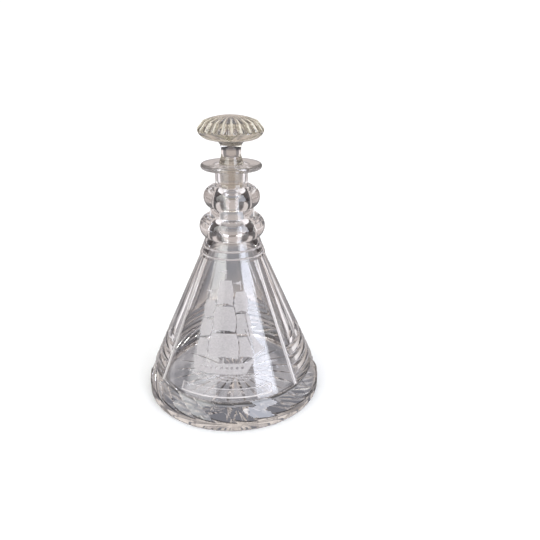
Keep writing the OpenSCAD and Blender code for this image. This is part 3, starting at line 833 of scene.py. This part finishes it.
# %% A socket that adds and multiplies
class Number:
    """A shader socket with arithmetic; each operation adds a Math node."""

    def __init__(self, tree, socket):
        self.tree, self.socket = tree, socket

    def math(self, operation, *others):
        """A Math node with this socket first."""
        sockets = dict(enumerate((self, *others)))
        return self.tree.add("ShaderNodeMath", {"operation": operation}, sockets)[0]

    def __add__(self, other):
        return self.math("ADD", other)

    def __sub__(self, other):
        return self.math("SUBTRACT", other)

    def __rsub__(self, other):
        return (self * -1.0) + other

    def __mul__(self, other):
        return self.math("MULTIPLY", other)

    def __gt__(self, other):
        return self.math("GREATER_THAN", other)

    def __lt__(self, other):
        return self.math("LESS_THAN", other)

    __radd__, __rmul__ = __add__, __mul__

    def step(self, low, high):
        """Rises smoothly from 0 at low to 1 at high."""
        smooth = {"interpolation_type": "SMOOTHSTEP"}
        return self.tree.add("ShaderNodeMapRange", smooth, {0: self, 1: low, 2: high})[0]


print("operators", [name for name in vars(Number) if name.startswith("__") and name != "__init__"])

# %% A tree that adds nodes
BLACK = (0, 0, 0, 1)


class Nodes:
    """The emptied node tree of a material or a world."""

    def __init__(self, owner):
        owner.use_nodes = True
        self.tree = owner.node_tree
        self.tree.nodes.clear()

    def add(self, kind, settings, sockets):
        """Adds a node, its settings first, then its sockets; returns its outputs."""
        made = self.tree.nodes.new(kind)
        for name, value in settings.items():
            setattr(made, name, value)
        for name, value in sockets.items():
            if isinstance(value, Number):
                self.tree.links.new(value.socket, made.inputs[name])
            else:
                made.inputs[name].default_value = value
        return [Number(self, out) for out in made.outputs]

    def mix(self, factor, a, b):
        """A colour between a and b."""
        return self.add("ShaderNodeMix", {"data_type": "RGBA"}, {0: factor, 6: a, 7: b})[2]

    def blend(self, factor, a, b):
        """A shader between a and b."""
        return self.add("ShaderNodeMixShader", {}, {0: factor, 1: a, 2: b})[0]

    def surface(self, sockets):
        """A Principled shader."""
        return self.add("ShaderNodeBsdfPrincipled", {}, sockets)[0]

    def glow(self, colour):
        """A surface that only shines, in a colour that may change over it."""
        shine = {"Emission Color": colour, "Emission Strength": 1.0}
        return self.surface({"Base Color": BLACK, "Specular IOR Level": 0.0, **shine})

    def object_place(self):
        """The place on the object, which moves with it."""
        return self.add("ShaderNodeTexCoord", {}, {})[3]

    def split(self, vector):
        """The three numbers of a vector or colour."""
        return self.add("ShaderNodeSeparateXYZ", {}, {0: vector})

    def paths(self):
        """What kind of light path asks, by name."""
        return {out.socket.name: out for out in self.add("ShaderNodeLightPath", {}, {})}


print("methods", [name for name in vars(Nodes) if not name.startswith("__")])

# %% [markdown]
# ## Glass
# Old lead glass has a slight grey tint, the stopper a straw one, and the wheel leaves it matt. One shader
# with a rough mask could blur the light, but an engraving scatters it, so a clear and a matt shader are
# mixed by the frost of the mesh. The matt one has a fine grain in its colour, roughness and bump. The clear
# one is darkened as painted shade where the frost is below nought and on the stopper's shank. The renderer
# cuts off light that goes on and on inside the glass, and it would be black. Such paths get a glow in the
# colours of the surroundings instead. In the stopper it also calms the many tiny images in its flutes.

# %% The matt and the clear skin
GLASS_IOR, MATT_SHARE = 1.54, 0.9
# The darker tint is painted shade, given where the frost is below nought.
MATT_LIGHT, PAINTED_SHADE_TINT = (0.78, 0.74, 0.73, 1), (0.3, 0.29, 0.3, 1)


def tone(colour, share):
    """A colour made lighter or darker."""
    return (*(value * share for value in colour[:3]), 1)


def matt_skin(tree, frost, spot_in_glass, colour):
    """Glass as the wheel leaves it: ground, grainy and a little see-through."""
    grain = tree.add("ShaderNodeTexNoise", {}, {"Vector": spot_in_glass, "Scale": 900.0, "Detail": 3.0})[0]
    tooth = tree.add("ShaderNodeBump", {}, {"Strength": 0.3, "Distance": 0.0002, "Height": grain})[0]
    worn = tree.mix(grain.step(0.3, 0.7), tone(colour, 0.84), tone(colour, 1.16))
    ground = tree.mix(frost.step(1.0, BRIGHT_MATT), worn, MATT_LIGHT)
    rough = {"Roughness": grain * 0.3 + 0.45, "Normal": tooth}
    return tree.surface({"Base Color": ground, "IOR": GLASS_IOR, "Transmission Weight": 0.25, **rough})


def clear_skin(tree, frost, z, colour, shank):
    """Polished glass with painted shade where frost is below 0; a shank colour paints shade on the shank."""
    tint = colour
    if shank:
        on_shank = z.step(0.218, 0.222) * (1.0 - z.step(0.236, 0.242))
        tint = tree.mix(on_shank, colour, shank)
    tint = tree.mix((frost * -1.0).math("MAXIMUM", 0.0), tint, PAINTED_SHADE_TINT)
    clear = {"Roughness": 0.0, "IOR": GLASS_IOR, "Transmission Weight": 1.0}
    return tree.surface({"Base Color": tint, **clear})


print("index of refraction", GLASS_IOR)

# %% The glass
RIM_DARK, RIM_LIGHT, CORE = (0.34, 0.31, 0.29, 1), (0.80, 0.72, 0.66, 1), (0.2, 0.2, 0.225, 1)
MOST_BENDS = 10.5


def inner_glow(tree, spot_in_glass, reach, z, deepest):
    """What the deepest reflections show: a mosaic at the rim of the foot, plain colours above it."""
    facets = tree.add("ShaderNodeTexVoronoi", {}, {"Vector": spot_in_glass, "Scale": 420.0})[1]
    mosaic = tree.mix(tree.split(facets)[0], RIM_DARK, RIM_LIGHT)
    shade = tree.mix(reach.step(0.05, 0.068), CORE, mosaic)
    for level, lit in deepest:
        shade = tree.mix(z.step(level - 0.002, level + 0.002), shade, lit)
    return tree.glow(shade)


def glass(name, colour, matt_colour, deepest, shank=None, most=3.5):
    """Clear glass that turns matt where the mesh says so, and glows after most inner reflections."""
    material = bpy.data.materials.new(name)
    tree = Nodes(material)
    frost = tree.add("ShaderNodeAttribute", {"attribute_name": "frost"}, {})[2]
    spot_in_glass = tree.object_place()
    x, y, z = tree.split(spot_in_glass)
    mask = frost.math("MINIMUM", 1.0).math("MAXIMUM", 0.0) * MATT_SHARE
    clear = clear_skin(tree, frost, z, colour, shank)
    skin = tree.blend(mask, clear, matt_skin(tree, frost, spot_in_glass, matt_colour))
    paths = tree.paths()
    deep = (paths["Glossy Depth"] > most).math("MAXIMUM", paths["Ray Depth"] > MOST_BENDS)
    reach = (x * x + y * y).math("SQRT")
    skin = tree.blend(deep, skin, inner_glow(tree, spot_in_glass, reach, z, deepest))
    tree.add("ShaderNodeOutputMaterial", {}, {0: skin})
    print(name, len(tree.tree.nodes), "nodes")
    return material


print("every glass glows after", int(MOST_BENDS), "bends of the light")

# %% Give each piece its glass
# The shank colour is painted shade: it darkens the stopper's shank under the head.
CLEAR, STRAW, SHANK_SHADE_TINT = (0.96, 0.95, 0.95, 1), (0.94, 0.89, 0.79, 1), (0.82, 0.78, 0.75, 1)
bottle_deepest = [(0.015, (0.2, 0.19, 0.2, 1)), (0.08, (0.72, 0.65, 0.62, 1)), (0.2, (0.25, 0.23, 0.22, 1))]
bottle_glass = glass("bottle_glass", CLEAR, (0.46, 0.435, 0.44, 1), bottle_deepest)
ring_glass = glass("ring_glass", CLEAR, (0.5, 0.47, 0.46, 1), [(0.1, (0.5, 0.44, 0.42, 1))])
stopper_deepest = [(0.1, (0.4, 0.365, 0.3, 1))]
stopper_glass = glass("stopper_glass", STRAW, (0.72, 0.67, 0.565, 1), stopper_deepest, SHANK_SHADE_TINT, most=1.5)
glass_bottle.data.materials.append(bottle_glass)
for obj in ring_objects.values():
    obj.data.materials.append(ring_glass)
glass_stopper.data.materials.append(stopper_glass)

# %% [markdown]
# ## What rides on what
# The rings are fused to the neck, so they and the bottle are one body. The stopper only sits in the mouth
# and is lifted out, so it rides on the other. Each glass piece stands for its node of the packed part.
# Parenting by hand could tie them; here a helper parents each piece to the empty of its body and hides
# the node's own mesh.

# %% Tie the pieces to the frame
pieces = (
    (glass_bottle, "decanter", "bottle", "bottle_glass"),
    (ring_objects["upper"], "decanter", "upper_neck_ring", "ring_glass"),
    (ring_objects["lower"], "decanter", "lower_neck_ring", "ring_glass"),
    (glass_stopper, "stopper", "stopper", "stopper_glass"),
)
for obj, rides_on, stands_for, finish in pieces:
    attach(obj, rides_on)
    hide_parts(stands_for)
print("pieces", [obj.name for obj, *_ in pieces])

# %% [markdown]
# ## Surroundings
# What glass looks like depends on what it bends into view. White all round would make it vanish, so the
# rays that the glass sends on see a table and a room, while the camera and matt surfaces see plain white.
# Lamps and boards could be built for that, but colours by direction are easier to place. Both share one
# pattern: a front, sides, dark corners and a middle behind, and two windows in front whose reflections run
# down the panel.

# %% Colours all round the object
FACING = math.radians(6.5)
SIDE, CORNER, LOW_SIDE = (0.68, 0.62, 0.60, 1), (0.07, 0.066, 0.07, 1), (0.06, 0.052, 0.052, 1)
RIGHT_WINDOW, LEFT_WINDOW = (35.5, 64.5, 0.7), (-62, -19, 1.5)


def around_colour(tree, azimuth, front, back, side=SIDE, behind=2.72, corner=CORNER):
    """Colour of the surroundings for an azimuth in radians."""
    away = (azimuth - FACING).math("WRAP", math.pi, -math.pi).math("ABSOLUTE")
    colour = tree.mix(away.step(0.5, 1.2), front, side)
    colour = tree.mix(away.step(2.35, 2.5), colour, corner)
    return tree.mix(away.step(behind, behind + 0.13), colour, back)


def window(azimuth, left, right, soft):
    """1 in the directions of a window, 0 elsewhere, angles in degrees."""
    left, right, soft = (math.radians(v) for v in (left, right, soft))
    return azimuth.step(left - soft, left + soft) * (1.0 - azimuth.step(right - soft, right + soft))


print("windows", RIGHT_WINDOW[:2], LEFT_WINDOW[:2], "degrees")

# %% [markdown]
# ## The floor
# The floor is a plain pale sheet that keeps the soft shadow. For rays that come through the glass it is a
# table instead: a painted shadow with ripples under the foot, a dark line of painted contact shadow at its
# rim, a front, sides and back farther out, and painted light from the windows. A real board could be
# modelled, but only its colours reach the eye, so they are painted by place.

# %% A sheet to stand on
HALF, SUNK = 3, -0.0004
floor_mesh = bpy.data.meshes.new("floor")
corners = [(-HALF, -HALF, SUNK), (HALF, -HALF, SUNK), (HALF, HALF, SUNK), (-HALF, HALF, SUNK)]
floor_mesh.from_pydata(corners, [], [(0, 1, 2, 3)])
floor = bpy.data.objects.new("floor", floor_mesh)
bpy.context.scene.collection.objects.link(floor)
print("floor", [round(v, 2) for v in floor.dimensions])

# %% The table that the glass sees
paint = bpy.data.materials.new("floor_paint")
tree = Nodes(paint)
spot_on_table = tree.object_place()
x, y, z = tree.split(spot_on_table)
azimuth = x.math("ARCTAN2", y * -1.0)
reach = (x * x + y * y).math("SQRT")
ripple = tree.add("ShaderNodeTexNoise", {}, {"Vector": spot_on_table, "Scale": 30.0, "Detail": 2.0})[0]
# Under the foot: painted shadow broken by noise ripples, and a ring of painted contact shadow at the rim.
below = tree.mix(ripple.step(0.4, 0.6), (0.26, 0.265, 0.29, 1), (0.44, 0.435, 0.46, 1))
contact_shadow = reach.step(0.07, 0.078) * (1.0 - reach.step(0.084, 0.09))
below = tree.mix(contact_shadow, below, (0.09, 0.088, 0.09, 1))
beside = tree.mix(reach.step(0.085, 0.1), below, (0.60, 0.54, 0.51, 1))
print("nodes below the foot", len(tree.tree.nodes))

# %% The table farther out
FAR_FRONT, FAR_BACK, GREY = (0.42, 0.37, 0.35, 1), (0.56, 0.51, 0.49, 1), (0.24, 0.23, 0.24, 1)
near_colours = ((0.48, 0.43, 0.41, 1), (0.3, 0.305, 0.33, 1), (1.0, 0.97, 0.98, 1))
near = around_colour(tree, azimuth, *near_colours, corner=GREY)
far = around_colour(tree, azimuth, FAR_FRONT, FAR_BACK, (1.15, 1.1, 1.12, 1), corner=GREY)
end = around_colour(tree, azimuth, FAR_FRONT, FAR_BACK, LOW_SIDE)
far = tree.mix(reach.step(1.3, 1.6), far, end)
table = tree.mix(reach.step(0.12, 0.3), beside, tree.mix(reach.step(0.35, 0.7), near, far))
# Painted light from the windows on the table, in their directions.
shine = window(azimuth, *RIGHT_WINDOW).math("MAXIMUM", window(azimuth, *LEFT_WINDOW))
shine = shine * reach.step(0.25, 0.4) * (1.0 - reach.step(0.7, 1.0))
table = tree.mix(shine, table, (1.5, 1.55, 1.65, 1))
white = tree.add("ShaderNodeBsdfDiffuse", {}, {"Color": (0.93, 0.93, 0.93, 1)})[0]
paths = tree.paths()
through = paths["Is Transmission Ray"].math("MAXIMUM", paths["Is Glossy Ray"])
tree.add("ShaderNodeOutputMaterial", {}, {0: tree.blend(through, white, tree.glow(table))})
floor_mesh.materials.append(paint)
print("floor nodes", len(tree.tree.nodes))

# %% [markdown]
# ## The room
# The world lights the object with plain white from all round, which is as soft as light can be. A large
# lamp could do it too, but would show in the glass. Rays that the glass sends on see walls, a ceiling and
# two windows. A window seen straight through the glass is dimmed, because it would wash out the neck rings.

# %% Walls and ceiling
world = bpy.data.worlds.new("room")
bpy.context.scene.world = world
tree = Nodes(world)
x, y, z = tree.split(tree.add("ShaderNodeTexCoord", {}, {})[0])
azimuth = x.math("ARCTAN2", y * -1.0)
height = z.math("ARCSINE")
WALL_FRONT, WALL_BACK = (0.1, 0.095, 0.09, 1), (0.6, 0.54, 0.52, 1)
high = around_colour(tree, azimuth, WALL_FRONT, WALL_BACK, behind=2.85)
low = around_colour(tree, azimuth, WALL_FRONT, WALL_BACK, LOW_SIDE, behind=2.85)
walls = tree.mix(height.step(0.34, 0.42), low, high)
ceiling = tree.mix(height.step(1.1, 1.25), (0.92, 0.85, 0.79, 1), (0.22, 0.2, 0.19, 1))
room = tree.mix(height.step(0.7, 1.0), walls, ceiling)
print("room nodes", len(tree.tree.nodes))

# %% Windows and plain light
paths = tree.paths()
straight = paths["Is Transmission Ray"] * (paths["Glossy Depth"] < 0.5)
under_top = 1.0 - height.step(0.95, 1.05)
day = tree.mix(straight, (5.8, 6.1, 6.9, 1), (0.9, 0.92, 0.95, 1))
room = tree.mix(window(azimuth, *RIGHT_WINDOW) * under_top, room, day)
dusk = tree.mix(height.step(0.15, 0.45), (2.6, 2.6, 2.6, 1), (4.8, 4.9, 4.7, 1))
dusk = tree.mix(straight, dusk, (0.85, 0.85, 0.84, 1))
room = tree.mix(window(azimuth, *LEFT_WINDOW) * under_top, room, dusk)
plain = paths["Is Camera Ray"].math("MAXIMUM", paths["Is Diffuse Ray"])
shown = tree.mix(plain, room, (1.07, 1.07, 1.07, 1))
background = tree.add("ShaderNodeBackground", {}, {0: shown})[0]
tree.add("ShaderNodeOutputWorld", {}, {0: background})
bpy.context.scene.view_settings.view_transform = "Standard"
print("room nodes with windows", len(tree.tree.nodes))

# %% [markdown]
# ## Camera
# The camera stands as in the photo: a little above the object, looking down about twenty-two degrees, and a
# little to the right of the panel's middle. It could be set by eye, but its place, angles and lens were
# fitted to the outline of the glass, so the numbers are odd.

# %% The camera
STAND, LENS = (-0.22, -457.96, 307.98), 35.06
yaw, pitch, roll = (math.radians(v) for v in (4.37, 22.42, -0.69))
ahead = Vector((math.sin(yaw) * math.cos(pitch), math.cos(yaw) * math.cos(pitch), -math.sin(pitch)))
right = Vector((math.cos(yaw), -math.sin(yaw), 0))
up = right.cross(ahead)
tilted_right = right * math.cos(roll) - up * math.sin(roll)
tilted_up = right * math.sin(roll) + up * math.cos(roll)
axes = Matrix((tilted_right, tilted_up, -ahead)).transposed().to_4x4()
camera = bpy.data.objects.new("camera", bpy.data.cameras.new("camera"))
camera.matrix_world = Matrix.Rotation(FACING, 4, "Z") @ Matrix.Translation(Vector(STAND) * MM) @ axes
camera.data.lens, camera.data.sensor_width = LENS, 36.0
camera.data.clip_start, camera.data.clip_end = 0.01, 20
bpy.context.scene.collection.objects.link(camera)
bpy.context.scene.camera = camera
print("camera at", [round(v, 3) for v in camera.matrix_world.translation])

# %% [markdown]
